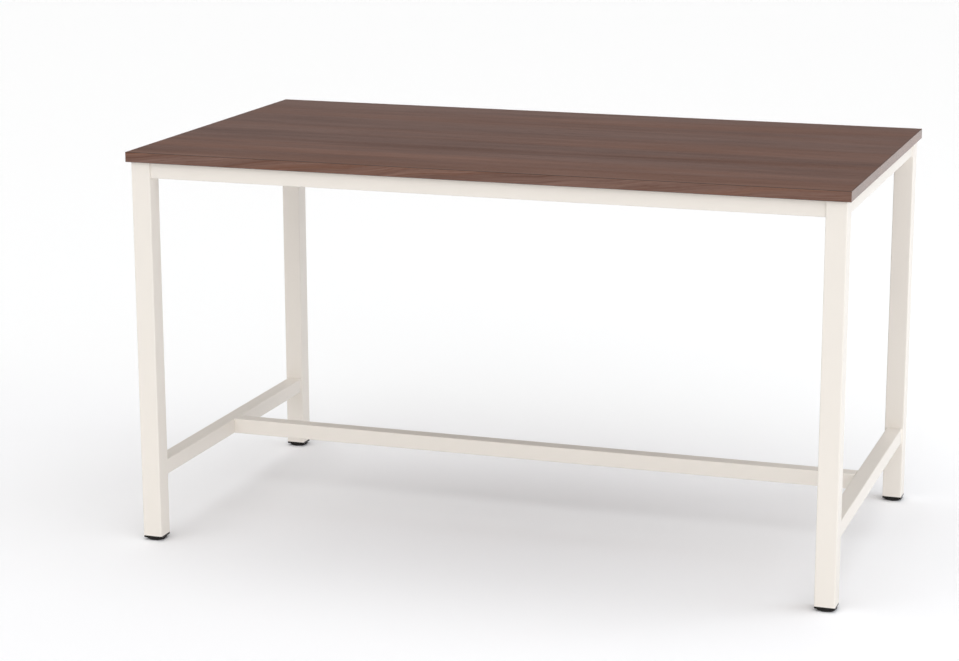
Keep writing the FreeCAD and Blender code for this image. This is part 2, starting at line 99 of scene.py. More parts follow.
camera = bpy.data.objects.new("camera", bpy.data.cameras.new("camera"))
bpy.context.scene.collection.objects.link(camera)
camera.location = CAMERA_PLACE
camera.rotation_euler = (math.radians(90 - CAMERA_DIP), 0, math.radians(CAMERA_TURN))
camera.data.sensor_width = SENSOR_WIDTH
camera.data.lens = SENSOR_WIDTH * FOCAL_PIXELS / PICTURE_WIDTH
camera.data.shift_x = (PICTURE_WIDTH / 2 - LENS_AXIS_COLUMN) / PICTURE_WIDTH
bpy.context.scene.camera = camera
print(f"lens {camera.data.lens:.1f} mm, shift {camera.data.shift_x:.4f}")

# %% [markdown]
# ## Shader maths in Python
#
# A material is a network of nodes. Wiring dozens of them by hand hides what they work out, so two
# small classes do the wiring. A `Wire` is the output of a node, and Python can do sums with it:
# `1 - wire * 0.5` adds the Math nodes for that sum.

# %% Define a wire
class Wire:
    """The output of a shader node, which Python can do sums with."""

    def __init__(self, finish, socket):
        self.finish = finish
        self.socket = socket

    def maths(self, operation, first, second):
        """Math node on two numbers or wires."""
        inputs = {"Value": first, "Value_001": second}
        return self.finish.add("Math", "Value", {"operation": operation}, inputs)

    def __add__(self, other):
        return self.maths("ADD", self, other)

    def __sub__(self, other):
        return self.maths("SUBTRACT", self, other)

    def __rsub__(self, other):
        return self.maths("SUBTRACT", other, self)

    def __mul__(self, other):
        return self.maths("MULTIPLY", self, other)

    def __pow__(self, power):
        return self.maths("POWER", self, power)

    def __mod__(self, step):
        return self.maths("FLOORED_MODULO", self, step)

    def __abs__(self):
        return self.maths("ABSOLUTE", self, 0.0)

    __radd__ = __add__
    __rmul__ = __mul__


print("a Wire can do +, -, *, **, % and abs")

# %% [markdown]
# A `Finish` is one material, and its `add` makes any other node from its type, its settings and what
# goes into its sockets. Some nodes have two sockets of the same name, so a socket is looked for by
# its identifier first.

# %% Define a finish
def pick(sockets, name):
    """The socket with this identifier, or else the one with this name."""
    for socket in sockets:
        if socket.identifier == name:
            return socket
    return sockets[name]


class Finish:
    """One material, built node by node."""

    def __init__(self, name):
        self.material = bpy.data.materials.new(name)
        self.material.use_nodes = True
        self.tree = self.material.node_tree
        self.tree.nodes.clear()

    def add(self, kind, output, settings, inputs):
        """One node: its settings first, then its inputs. Gives the wire of the output named."""
        node = self.tree.nodes.new("ShaderNode" + kind)
        for name, value in settings.items():
            setattr(node, name, value)
        for name, value in inputs.items():
            socket = pick(node.inputs, name)
            if isinstance(value, Wire):
                self.tree.links.new(value.socket, socket)
            else:
                socket.default_value = value
        return Wire(self, pick(node.outputs, output))

    def close(self, shader):
        """Send a shader to the surface, and give the finished material."""
        end = self.tree.nodes.new("ShaderNodeOutputMaterial")
        self.tree.links.new(shader.socket, end.inputs["Surface"])
        print("finish:", self.material.name, "with", len(self.tree.nodes), "nodes")
        return self.material


print("a Finish can add nodes and close")

# %% [markdown]
# ## The floor
#
# The table stands in a white studio. A sheet that curves up into a wall would do for one view, but a
# flat floor looks right from every side, so it is a disc so wide that its edge never shows. It is
# matt, and behind the table it is painted whiter, up to the plain white of the backdrop: painted
# light that lifts the table's shadow there. Its underside is see-through, so that the table can be
# looked at from below.

# %% Lay the floor
FLOOR_RADIUS = 60.0
FLOOR_WHITE = (0.97, 0.97, 0.98)
FLOOR_ROUGHNESS = 0.9
FLOOR_GLOSS = 0.1           # the shader's Specular IOR Level, which is 0.5 where nothing sets it
# The walls' white, which the floor behind the table is also painted up to, as painted light.
BACKDROP_WHITE = (1.0, 1.0, 1.0)
PAINTED_LIGHT_FROM = 0.4         # metres behind the table's middle, where the floor starts to turn white
PAINTED_LIGHT_TO = 1.3           # and where it is as white as the backdrop


def floor_finish():
    """Matt white from above, painted whiter behind the table as painted light, and clear from below."""
    finish = Finish("studio_floor")
    y = finish.add("SeparateXYZ", "Y", {}, {"Vector": finish.add("TexCoord", "Object", {}, {})})
    # Painted light: the floor is painted whiter behind the table, where the table's shadow falls.
    painted_light_behind = finish.add("MapRange", "Result", {"interpolation_type": "SMOOTHSTEP"}, {
        "Value": y, "From Min": PAINTED_LIGHT_FROM, "From Max": PAINTED_LIGHT_TO})
    colour = finish.add("Mix", "Result_Color", {"data_type": "RGBA"}, {
        "Factor_Float": painted_light_behind, "A_Color": (*FLOOR_WHITE, 1.0), "B_Color": (*BACKDROP_WHITE, 1.0)})
    white = finish.add("BsdfPrincipled", "BSDF", {}, {
        "Base Color": colour, "Roughness": FLOOR_ROUGHNESS, "Specular IOR Level": FLOOR_GLOSS})
    clear = finish.add("BsdfTransparent", "BSDF", {}, {})
    underneath = finish.add("NewGeometry", "Backfacing", {}, {})
    return finish.close(finish.add("MixShader", "Shader", {}, {
        "Fac": underneath, "Shader": white, "Shader_001": clear}))


def floor_disc(rings=24, spokes=96):
    """Flat disc on the floor: points at radius r and angle t are (r cos t, r sin t, 0).

    The radii grow as a square, so that the faces near the table are small.
    """
    radius = FLOOR_RADIUS * np.linspace(0, 1, rings + 1)[1:, None] ** 2
    angle = np.linspace(0, 2 * np.pi, spokes, endpoint=False)[None, :]
    x, y = radius * np.cos(angle), radius * np.sin(angle)
    points = np.stack([x, y, np.zeros_like(x)], -1).reshape(-1, 3)
    middle = len(points)
    points = np.concatenate([points, [[0, 0, 0]]])
    column = np.arange(spokes)
    following = np.roll(column, -1)
    fan = np.stack([column, following, np.full(spokes, middle)], -1)
    inner = np.arange(rings - 1)[:, None] * spokes
    quads = np.stack([inner + column, inner + spokes + column,
                      inner + spokes + following, inner + following], -1).reshape(-1, 4)
    mesh = bpy.data.meshes.new("studio_floor")
    mesh.from_pydata(points.tolist(), [], quads.tolist() + fan.tolist())
    return mesh


studio_floor = bpy.data.objects.new("studio_floor", floor_disc())
bpy.context.scene.collection.objects.link(studio_floor)
studio_floor.data.materials.append(floor_finish())
print("floor faces:", len(studio_floor.data.polygons))

# %% [markdown]
# ## The light
#
# The light is soft and comes from all round, a little more from the front and the right. Sun lamps
# light the floor evenly however far it runs, and how wide a lamp seems, as an angle, says how soft
# its shadows are. Several wide ones from different sides blur into each other, like the panels of a
# studio. A sun lamp shines along its own -Z axis, so the two turns below aim it.

# %% Hang the sun lamps
# Each lamp: where its light comes from, as degrees from the front towards the right and degrees above
# the horizon, then how wide the source looks in degrees, and its strength.
LAMPS = {
    "low_left": (-60, 15, 40, 0.24),
    "low_front": (20, 15, 40, 0.40),
    "low_right": (60, 15, 40, 0.52),
    "key_left": (-20, 40, 50, 0.56),
    "key_front": (20, 40, 50, 0.40),
    "high_left": (-90, 65, 50, 0.54),
    "high_right": (90, 65, 50, 0.54),
    "high_back": (180, 65, 50, 0.32),
}


def add_lamp(name, compass, height, width, strength):
    """Sun lamp that shines on the table from a direction."""
    lamp = bpy.data.lights.new(name, "SUN")
    lamp.energy = strength
    lamp.angle = math.radians(width)
    holder = bpy.data.objects.new(name, lamp)
    holder.rotation_euler = (math.radians(90 - height), 0, math.radians(compass))
    bpy.context.scene.collection.objects.link(holder)
    print(f"lamp {name}: {strength} W/m2 from {compass} degrees, {height} up")


for lamp_name, lamp_facts in LAMPS.items():
    add_lamp(lamp_name, *lamp_facts)

# %% [markdown]
# A sun lamp lights the near and the far end of the table alike. A window doesn't: what is close to it
# gets more. So one square area lamp, a soft box, stands beyond the right end. It is hidden from the
# camera, and its light is a little bluer than the rest, as daylight is.

# %% Hang the soft box
SOFT_BOX_PLACE = (4.5, 0.5, 2.0)
SOFT_BOX_AIM = (0.9, 0.2, 0.9)
SOFT_BOX_SIDE = 3.0
SOFT_BOX_WATTS = 50
SOFT_BOX_COLOUR = (0.94, 1.0, 1.08)


def add_soft_box():
    """Square lamp that points from its place to its aim."""
    lamp = bpy.data.lights.new("soft_box", "AREA")
    lamp.energy = SOFT_BOX_WATTS
    lamp.color = SOFT_BOX_COLOUR
    lamp.size = SOFT_BOX_SIDE
    holder = bpy.data.objects.new("soft_box", lamp)
    holder.location = SOFT_BOX_PLACE
    back = Vector(SOFT_BOX_PLACE) - Vector(SOFT_BOX_AIM)
    holder.rotation_euler = back.to_track_quat("Z", "Y").to_euler()
    holder.visible_camera = False
    bpy.context.scene.collection.objects.link(holder)
    print(f"soft box {SOFT_BOX_SIDE} m square, {SOFT_BOX_WATTS} W")


add_soft_box()

# %% [markdown]
# The white walls are the world colour. They fill the shadows, and they are what a glossy edge
# reflects. As bright as they look, they would drown the lamps, so they look white but light the table
# with less. The Light Path node tells the two apart: it gives 1 for what is seen directly and 0 for
# light that falls on something. The Standard view shows colours as they are, without a film curve.

# %% Whiten the walls
WALL_LIGHT = 0.3            # what the walls give, where 1 is as bright as they look


def white_walls():
    """World that looks white, and lights the table with less than that.

    The Map Range node leaves the 1 of what the camera sees, and turns a 0 into WALL_LIGHT.
    """
    walls = bpy.data.worlds.new("white_studio")
    walls.use_nodes = True
    links, nodes = walls.node_tree.links, walls.node_tree.nodes
    light = nodes["Background"]
    light.inputs["Color"].default_value = (*BACKDROP_WHITE, 1.0)
    strength = nodes.new("ShaderNodeMapRange")
    strength.inputs["To Min"].default_value = WALL_LIGHT
    links.new(nodes.new("ShaderNodeLightPath").outputs["Is Camera Ray"], strength.inputs["Value"])
    links.new(strength.outputs["Result"], light.inputs["Strength"])
    return walls


bpy.context.scene.world = white_walls()
bpy.context.scene.view_settings.view_transform = "Standard"
print("walls give", WALL_LIGHT, "of what they show")

# %% [markdown]
# ## Patterns
#
# Every finish here is made of a few patterns. They are worked out from the point's own place in the
# piece, its Object coordinates, so they stay put when the piece moves and need no unwrapping. Noise
# does most of the work. Stretched along one axis it turns into fibres, and sampled finely it turns
# into the grain of paint or of moulded plastic.

# %% Define the patterns
FLAT_CUT = 0.5              # place on the noise's third axis of a pattern that has only two wires


def places(finish):
    """The point's place in the piece, as three wires in metres."""
    position = finish.add("TexCoord", "Object", {}, {})
    return [finish.add("SeparateXYZ", axis, {}, {"Vector": position}) for axis in "XYZ"]


def noise(finish, wires, sizes, detail=2.0, seed=0.0):
    """Noise from 0 to 1 with spots of the given sizes, in metres, along two or three wires.

    Each wire is divided by its size, because the noise has spots about one unit across. The seed
    slides the pattern along the first wire.
    """
    scaled = {axis: wire * (1 / size) for axis, wire, size in zip("XYZ", wires, sizes)}
    scaled["X"] = scaled["X"] + seed
    scaled.setdefault("Z", FLAT_CUT)
    vector = finish.add("CombineXYZ", "Vector", {}, scaled)
    return finish.add("TexNoise", "Fac", {}, {"Vector": vector, "Scale": 1.0, "Detail": detail})


def rise(finish, wire, low, high):
    """0 below low, 1 above high, and a smooth rise between."""
    return finish.add("MapRange", "Result", {"interpolation_type": "SMOOTHSTEP"},
                      {"Value": wire, "From Min": low, "From Max": high})


def tint(finish, factor, low, high):
    """Colour between two colours: a factor of 0 gives low and 1 gives high."""
    inputs = {"Factor_Float": factor}
    for socket, colour in (("A_Color", low), ("B_Color", high)):
        inputs[socket] = colour if isinstance(colour, Wire) else (*colour, 1.0)
    return finish.add("Mix", "Result_Color", {"data_type": "RGBA"}, inputs)


def shade(finish, colour, amount):
    """Colour times a wire, on the three channels at once."""
    return finish.add("VectorMath", "Vector", {"operation": "SCALE"},
                      {"Vector": colour, "Scale": amount})


def relief(finish, height, depth):
    """Normal of a surface whose height runs from 0 to 1 over a depth in metres."""
    return finish.add("Bump", "Normal", {}, {"Height": height, "Distance": depth})


def principled(finish, inputs):
    """End a finish in a Principled shader."""
    return finish.close(finish.add("BsdfPrincipled", "BSDF", {}, inputs))


print("patterns: places, noise, rise, tint, shade, relief, principled")

# %% [markdown]
# ## Walnut grain
#
# The board's face is a plastic laminate with walnut printed on it. A scan of a real board could be
# laid on it, but noise needs no picture, has no seam and stays sharp close to. Walnut isn't one
# pattern but several on top of each other, each at its own scale: broad bands of darker and greyer
# wood, growth lines that wander along the board, streaks, fibres, and the short dark dashes of open
# pores. Each is noise stretched along the grain. Only the growth lines are more than that. They are
# the contour lines of a hilly surface, which run along the board and close round its hills, as they
# do in wood sawn flat.

# %% Define the growth lines
HILLS = (1.3, 0.22)         # how long and how wide the hills are, in metres
LINE_SPACING = 0.016        # metres from one growth line to the next, where there are no hills
HILL_LINES = 6              # lines that the highest hill would add
LINE_SHARPNESS = 4


def layer(finish, along, across, size, width=1.0, **options):
    """Noise of one layer, as long as its size says and as wide as its size times the width."""
    return noise(finish, [along, across], [size[0], size[1] * width], **options)


def growth_lines(finish, along, across, width, seed):
    """Dark lines where a hilly surface is cut at even heights.

    The surface is the place across the grain over the line spacing, plus noise times HILL_LINES.
    What is left after the whole number is 0 just past a line and 1 on the next one, and a high power
    keeps only the stretch close to the line.
    """
    hills = layer(finish, along, across, HILLS, width, seed=seed)
    return ((across * (1 / (LINE_SPACING * width)) + HILL_LINES * hills) % 1.0) ** LINE_SHARPNESS


print(f"growth lines about {LINE_SPACING / MM:.0f} mm apart")

# %% [markdown]
# All layers share one wandering coordinate across the grain, so they bend together. Broad layers,
# streaks and fibres make the wood lighter in one place and darker in another. Growth lines and pores
# only darken it. One more layer says where the wood is greyish, and the colour is mixed from four
# tones: dark and light, once warm and once greyish.

# %% Add up the grain
# How long and how wide the spots of each layer are, in metres.
LONG_BENDS, SHORT_BENDS = (1.4, 0.35), (0.25, 0.08)
BOARDS, BANDS, STREAKS = (5.0, 0.10), (0.8, 0.06), (0.30, 0.016)
FIBRES, PORES = (0.10, 0.0022), (0.020, 0.0007)
LINE_PATCHES, GREY_PATCHES = (0.9, 0.12), (2.5, 0.14)

LONG_BEND, SHORT_BEND = 0.030, 0.006    # metres that the grain bends aside
PATCH_EDGES = (0.35, 0.65)  # noise from which a patch starts and at which it is full
PORE_EDGES = (0.60, 0.72)

# How much each layer lightens or darkens the wood, on a tone from 0 to 1.
MIDDLE_TONE = 0.53
BOARD_TONE, BAND_TONE, STREAK_TONE, FIBRE_TONE = 0.85, 0.7, 1.1, 0.7
LINE_TONE, PORE_TONE = 0.3, 0.35


def walnut_tone(finish, along, across, seed, grey_seed, width=1.0):
    """Tone of the wood from 0, dark, to 1, light, its greyness, its pores and its fibres.

    The tone starts at the middle tone. Boards, bands, streaks and fibres, less 0.5, add to it by
    their shares, and lines and pores take from it by theirs. The width stretches the pattern across
    the grain, but pores and fibres keep their size. Every layer has a seed of its own, so that none
    repeats another.
    """
    across = across + LONG_BEND * width * layer(finish, along, across, LONG_BENDS, width, seed=seed)
    across = across + SHORT_BEND * width * layer(finish, along, across, SHORT_BENDS, width,
                                                 seed=seed + 3)
    boards = layer(finish, along, across, BOARDS, width, seed=seed + 5)
    bands = layer(finish, along, across, BANDS, width, seed=seed + 7)
    streaks = layer(finish, along, across, STREAKS, width, detail=3, seed=seed + 11)
    fibres = layer(finish, along, across, FIBRES, detail=3, seed=seed + 17)
    lines = growth_lines(finish, along, across, width, seed + 23)
    patches = rise(finish, layer(finish, along, across, LINE_PATCHES, width, seed=seed + 29),
                   *PATCH_EDGES)
    pores = rise(finish, layer(finish, along, across, PORES, detail=1, seed=seed + 31), *PORE_EDGES)
    tone = (MIDDLE_TONE + BOARD_TONE * (boards - 0.5) + BAND_TONE * (bands - 0.5)
            + STREAK_TONE * (streaks - 0.5) + FIBRE_TONE * (fibres - 0.5)
            - LINE_TONE * lines * patches - PORE_TONE * pores)
    grey = rise(finish, layer(finish, along, across, GREY_PATCHES, width, seed=grey_seed),
                *PATCH_EDGES)
    return tone, grey, pores, fibres


def walnut_colour(finish, tone, grey, tones):
    """Colour for a tone and a greyness, from four tones of the wood.

    They are the dark and the light tone where the wood is warm, then where it is greyish.
    """
    dark, light, greyish_dark, greyish_light = tones
    return tint(finish, grey, tint(finish, tone, dark, light),
                tint(finish, tone, greyish_dark, greyish_light))


print("walnut grain is ready")

# %% [markdown]
# ## The board's face
#
# The laminate is a thin satin sheet. Pores are pressed into it a little, and they are duller than the
# rest, so light breaks up along the grain. Round its border runs the glue line of the edge bands. It
# is thinner than half a millimetre, but without it the joint wouldn't show. At that width it needs no
# piece of its own, and a darker rim in the print is enough.

# %% Make the laminate
SHEET_TONES = ((0.1055, 0.0378, 0.0173), (0.2005, 0.1028, 0.0733),
               (0.0886, 0.0407, 0.0276), (0.1836, 0.1057, 0.0836))
SHEET_ROUGHNESS = 0.30
FIBRE_ROUGHNESS, PORE_ROUGHNESS = 0.08, 0.10    # what fibres and pores add to it
SHEET_GLOSS = 0.046
SHEET_RELIEF = 0.03 * MM
SHEET_FIBRE_HEIGHT = 0.4    # where a pore is 1 deep
GLUE_LINE = 0.4 * MM
GLUE_SHADE = 0.35           # how bright the glue line is, where the print is 1


def laminate_finish():
    """Walnut laminate with its grain along X, and a dark glue line round the sheet's border."""
    finish = Finish("walnut_laminate_sheet")
    x, y, _ = places(finish)
    tone, grey, pores, fibres = walnut_tone(finish, x, y, seed=657.0, grey_seed=1860.0)
    to_end = sheet_high.x - abs(x)
    to_side = sheet_high.y - abs(y)
    border = rise(finish, to_end, 0, GLUE_LINE) * rise(finish, to_side, 0, GLUE_LINE)
    printed = walnut_colour(finish, tone, grey, SHEET_TONES)
    return principled(finish, {
        "Base Color": shade(finish, printed, GLUE_SHADE + (1 - GLUE_SHADE) * border),
        "Roughness": SHEET_ROUGHNESS + FIBRE_ROUGHNESS * (fibres - 0.5) + PORE_ROUGHNESS * pores,
        "Specular IOR Level": SHEET_GLOSS,
        "Normal": relief(finish, fibres * SHEET_FIBRE_HEIGHT - pores, SHEET_RELIEF),
    })


laminate = laminate_finish()

# %% [markdown]
# ## The edge bands
#
# The bands are strips of plastic with the same print, glued to the core's edges. They come off a reel
# whose print isn't lined up with the board: its grain leans and wanders across the band, and it is
# finer. A cutter mills the band's edges round once it is glued, and there the plain plastic under the
# print shows. The normal tells where, because only the milled edges look up or down. On the short
# bands that plastic is painted paler, a painted reflection of the bright light at the right end.

# %% Make the edge bands
BAND_TONES = ((0.1099, 0.0368, 0.0137), (0.2192, 0.1116, 0.0781),
              (0.0931, 0.0397, 0.0240), (0.2024, 0.1145, 0.0884))
LONG_MILLED = (0.040, 0.020, 0.014)
# Paler than the long bands' milled plastic: a painted reflection of the bright light at the right end.
SHORT_MILLED_PAINTED_LIGHT = (0.110, 0.066, 0.052)
MILLED_TILT = (0.15, 0.50)  # upright part of the normal where milling starts and where it is full
BAND_GRAIN_WIDTH = 0.17     # how wide the bands' grain is, where the sheet's is 1
LONG_LEAN, SHORT_LEAN = 0.10, -0.34     # metres that the grain rises in a metre
BAND_WANDER = 0.06          # metres that the bands' grain wanders up and down
WANDER_SIZE = (0.40, 1.0)   # length and width of the noise that it follows
BAND_ROUGHNESS = 0.22
BAND_FIBRE_ROUGHNESS, MILLED_ROUGHNESS = 0.05, 0.4      # what fibres and milling add to it
BAND_GLOSS = 0.37
BAND_RELIEF = 0.015 * MM
BAND_FIBRE_HEIGHT = 0.3


def band_finish(name, along_axis, lean, milled_colour_and_light, seed):
    """Edge band: a print that leans across it, and plain plastic where milled round; the short bands'
    is painted paler as painted light.
    """
    finish = Finish(name)
    wires = dict(zip("XYZ", places(finish)))
    along, up = wires[along_axis], wires["Z"]
    wander = BAND_WANDER * noise(finish, [along, up], WANDER_SIZE, seed=seed + 41)
    leaning = up - lean * along + wander
    tone, grey, pores, fibres = walnut_tone(finish, along, leaning, seed, seed + 37, BAND_GRAIN_WIDTH)
    upright = finish.add("SeparateXYZ", "Z", {}, {
        "Vector": finish.add("TexCoord", "Normal", {}, {})})
    milled = rise(finish, abs(upright), *MILLED_TILT)
    printed = walnut_colour(finish, tone, grey, BAND_TONES)
    return principled(finish, {
        "Base Color": tint(finish, milled, printed, milled_colour_and_light),
        "Roughness": BAND_ROUGHNESS + BAND_FIBRE_ROUGHNESS * (fibres - 0.5) + MILLED_ROUGHNESS * milled,
        "Specular IOR Level": BAND_GLOSS,
        "Normal": relief(finish, fibres * BAND_FIBRE_HEIGHT - pores, BAND_RELIEF),
    })


long_band = band_finish("walnut_edge_band_long", "X", LONG_LEAN, LONG_MILLED, seed=61.0)
short_band = band_finish("walnut_edge_band_short", "Y", SHORT_LEAN, SHORT_MILLED_PAINTED_LIGHT, seed=83.0)

# %% [markdown]
# ## The board's underside
#
# The underside has a plain backing sheet, which keeps the board flat. It is brown, matt and dull, with
# only a faint mottle: two noises, one a few centimetres wide and one as fine as the paper's grain.

# %% Make the backing sheet
BACKING_DARK, BACKING_LIGHT = (0.150, 0.092, 0.071), (0.205, 0.131, 0.104)
MOTTLE_SIZE = (0.05, 0.02, 0.05)
PAPER_SIZE = (1.5 * MM, 0.8 * MM, 1.5 * MM)
MOTTLE_SHARE = 0.7          # of the mottle in the colour, where the paper's grain has the rest
BACKING_ROUGHNESS, PAPER_ROUGHNESS = 0.58, 0.1
PAPER_RELIEF = 0.02 * MM


def backing_finish():
    """Matt brown backing sheet with a faint mottle."""
    finish = Finish("brown_backing_sheet")
    position = places(finish)
    mottle = noise(finish, position, MOTTLE_SIZE, detail=3)
    grain = noise(finish, position, PAPER_SIZE, detail=2)
    tone = MOTTLE_SHARE * mottle + (1 - MOTTLE_SHARE) * grain
    return principled(finish, {
        "Base Color": tint(finish, tone, BACKING_DARK, BACKING_LIGHT),
        "Roughness": BACKING_ROUGHNESS + PAPER_ROUGHNESS * grain,
        "Normal": relief(finish, grain, PAPER_RELIEF),
    })


backing = backing_finish()

# %% [markdown]
# ## The board's core
#
# The core is pressed wood chips. The sheets and bands cover all of it, but a finish for it is quickly
# made, and it is there when someone takes the board apart. Voronoi cells that are squashed flat look
# like chips: each cell has its own random colour, and one channel of that is its tone.

# %% Make the particle board
CHIP_SIZE = (6 * MM, 3 * MM, 1 * MM)
CHIP_DARK, CHIP_LIGHT = (0.34, 0.22, 0.12), (0.66, 0.50, 0.33)
CHIP_SHARE = 0.7            # of the chips in the colour, where the dust between them has the rest
DUST_SIZE = (0.6 * MM, 0.6 * MM, 0.4 * MM)
CHIP_ROUGHNESS, DUST_ROUGHNESS = 0.8, 0.1
CHIP_RELIEF = 0.15 * MM


def chip_finish():
    """Raw particle board: cells for the chips, each with its own tone."""
    finish = Finish("raw_particle_board")
    position = places(finish)
    scaled = {axis: wire * (1 / size) for axis, wire, size in zip("XYZ", position, CHIP_SIZE)}
    vector = finish.add("CombineXYZ", "Vector", {}, scaled)
    cell = finish.add("TexVoronoi", "Color", {}, {"Vector": vector, "Scale": 1.0})
    chip = finish.add("SeparateXYZ", "X", {}, {"Vector": cell})
    dust = noise(finish, position, DUST_SIZE)
    tone = CHIP_SHARE * chip + (1 - CHIP_SHARE) * dust
    return principled(finish, {
        "Base Color": tint(finish, tone, CHIP_DARK, CHIP_LIGHT),
        "Roughness": CHIP_ROUGHNESS + DUST_ROUGHNESS * dust,
        "Normal": relief(finish, chip, CHIP_RELIEF),
    })


chips = chip_finish()

# %% [markdown]
# ## Powder coat
#
# The frame is sprayed with dry powder that melts in an oven into a warm off-white skin. Seen close
# to, the skin has a faint orange peel: low, soft bumps about 2 mm across, which blur what it
# reflects. A Bump node bends the light as such bumps would, and costs no faces. Fine speckle and a
# slow drift of tone keep long tubes from looking like plain colour.

# %% Make the powder coat
CREAM_DARK, CREAM = (0.776, 0.726, 0.662), (0.800, 0.752, 0.690)
DRIFT_SIZE = (0.20, 0.20, 0.30)
PEEL_SIZE = [2.2 * MM] * 3
SPECKLE_SIZE = [0.35 * MM] * 3
DRIFT_SHARE = 0.6           # of the drift in the colour, where the speckle has the rest
POWDER_ROUGHNESS, PEEL_ROUGHNESS, DRIFT_ROUGHNESS = 0.40, 0.10, 0.06
PEEL_RELIEF = 0.05 * MM
SPECKLE_HEIGHT = 0.15       # where the peel is 1 high


def powder_finish():
    """Warm off-white powder coat with orange peel."""
    finish = Finish("cream_powder_coat")
    position = places(finish)
    drift = noise(finish, position, DRIFT_SIZE, detail=1)
    peel = noise(finish, position, PEEL_SIZE, detail=1)
    speckle = noise(finish, position, SPECKLE_SIZE, detail=1, seed=9)
    tone = DRIFT_SHARE * drift + (1 - DRIFT_SHARE) * speckle
    return principled(finish, {
        "Base Color": tint(finish, tone, CREAM_DARK, CREAM),
        "Roughness": POWDER_ROUGHNESS + PEEL_ROUGHNESS * (peel - 0.5) + DRIFT_ROUGHNESS * (drift - 0.5),
        "Normal": relief(finish, peel + SPECKLE_HEIGHT * speckle, PEEL_RELIEF),
    })


powder = powder_finish()

# %% [markdown]
# ## Zinc plate
#
# Screws, washers and the foot stems are steel with bright zinc plate: a metal with cloudy patches,
# a little blue in some places and yellow in others, and fine upright scratches. One pattern does for
# all of them, because it differs from place to place.

# %% Make the zinc plate
ZINC_BLUE, ZINC_YELLOW = (0.58, 0.61, 0.66), (0.72, 0.69, 0.60)
CLOUD_SIZE = [4 * MM] * 3
SCRATCH_SIZE = (0.15 * MM, 0.15 * MM, 3 * MM)
ZINC_ROUGHNESS, CLOUD_ROUGHNESS, SCRATCH_ROUGHNESS = 0.24, 0.16, 0.10
SCRATCH_RELIEF = 0.01 * MM


def zinc_finish():
    """Bright zinc plate, cloudy and finely scratched."""
    finish = Finish("bright_zinc_plate")
    position = places(finish)
    cloud = noise(finish, position, CLOUD_SIZE, detail=3)
    scratch = noise(finish, position, SCRATCH_SIZE, detail=2, seed=5)
    return principled(finish, {
        "Base Color": tint(finish, cloud, ZINC_BLUE, ZINC_YELLOW),
        "Metallic": 1.0,
        "Roughness": ZINC_ROUGHNESS + CLOUD_ROUGHNESS * cloud + SCRATCH_ROUGHNESS * scratch,
        "Normal": relief(finish, scratch, SCRATCH_RELIEF),
    })


zinc = zinc_finish()

# %% [markdown]
# ## Black plastic
#
# The end caps and the pads are moulded plastic, which is not quite black. Both have a very fine grain
# from the mould. The caps keep a soft shine, and the pads are duller and scuffed near the floor. One
# function makes both, and the numbers that it is given make them different.

# %% Make the plastics
PLASTIC_GLOSS = 0.22
CAP_BLACK, PAD_BLACK = (0.0080, 0.0066, 0.0056), (0.0070, 0.0056, 0.0047)
CLOUDY_SIZE = [6 * MM] * 3
SCUFF_EDGES = (0.45, 0.7)   # noise from which a scuff starts and at which it is full
SCUFF_PALER = 4             # how many times lighter the palest plastic is
CLOUDY_PALE, SCUFF_PALE = 0.12, 0.35        # how far clouds and scuffs go towards it
CLOUDY_ROUGHNESS, SCUFF_ROUGHNESS = 0.12, 0.25


def plastic_finish(name, colour, roughness, grain_size, grain_depth, scuff_height):
    """Black moulded plastic with a grain, paler and rougher below the scuff height."""
    finish = Finish(name)
    position = places(finish)
    grain = noise(finish, position, [grain_size] * 3, detail=1)
    cloudy = noise(finish, position, CLOUDY_SIZE, detail=3, seed=13)
    low_down = 1 - rise(finish, position[2], 0, scuff_height)
    scuff = low_down * rise(finish, cloudy, *SCUFF_EDGES)
    paler = tuple(SCUFF_PALER * channel for channel in colour)
    return principled(finish, {
        "Base Color": tint(finish, CLOUDY_PALE * cloudy + SCUFF_PALE * scuff, colour, paler),
        "Roughness": roughness + CLOUDY_ROUGHNESS * (cloudy - 0.5) + SCUFF_ROUGHNESS * scuff,
        "Specular IOR Level": PLASTIC_GLOSS,
        "Normal": relief(finish, grain, grain_depth),
    })


cap_plastic = plastic_finish("grained_black_cap", CAP_BLACK, roughness=0.26, grain_size=0.4 * MM,
                             grain_depth=0.008 * MM, scuff_height=0.1 * MM)
pad_plastic = plastic_finish("satin_black_pad", PAD_BLACK, roughness=0.42, grain_size=0.6 * MM,
                             grain_depth=0.012 * MM, scuff_height=3 * MM)

# %% [markdown]
# ## Dress the construction pieces
#
# The record that comes with the pieces names the finish of each one. A finish is put on a piece by
# filling its material slots. The edge bands are the exception: their print runs along each band, so
# the long ones and the short ones have a finish of their own.

# %% Put the finishes on
FINISHES = {
    "walnut_laminate": laminate,
    "backing_laminate": backing,
    "particle_board": chips,
    "powder_coated_steel": powder,
    "zinc_plated_steel": zinc,
    "black_cap_plastic": cap_plastic,
    "black_pad_plastic": pad_plastic,
}
BAND_FINISHES = {"edge_band_front": long_band, "edge_band_back": long_band,
                 "edge_band_left": short_band, "edge_band_right": short_band}

for part in frame["record"]["subparts"]:
    node = frame["nodes"][part["node"]]
    finish_of_node = BAND_FINISHES.get(part["node"], FINISHES[part["material_slot"]])
    for material_slot in node.material_slots:
        material_slot.material = finish_of_node

# %% [markdown]
# ## Surfaces from grids
#
# The pieces that are added below are surfaces worked out with numpy. Each is a grid of points: rows
# run along a path and columns run round a section. Joining each point to its neighbours makes the
# faces, so only the points differ from piece to piece. A curve with a bevel would be quicker, but on
# a grid the section can change at every step, as the ripples of a weld and a thread need.

# %% Define the grid helpers
FLAT_ANGLE = 35             # degrees between two faces up to which their edge is drawn soft


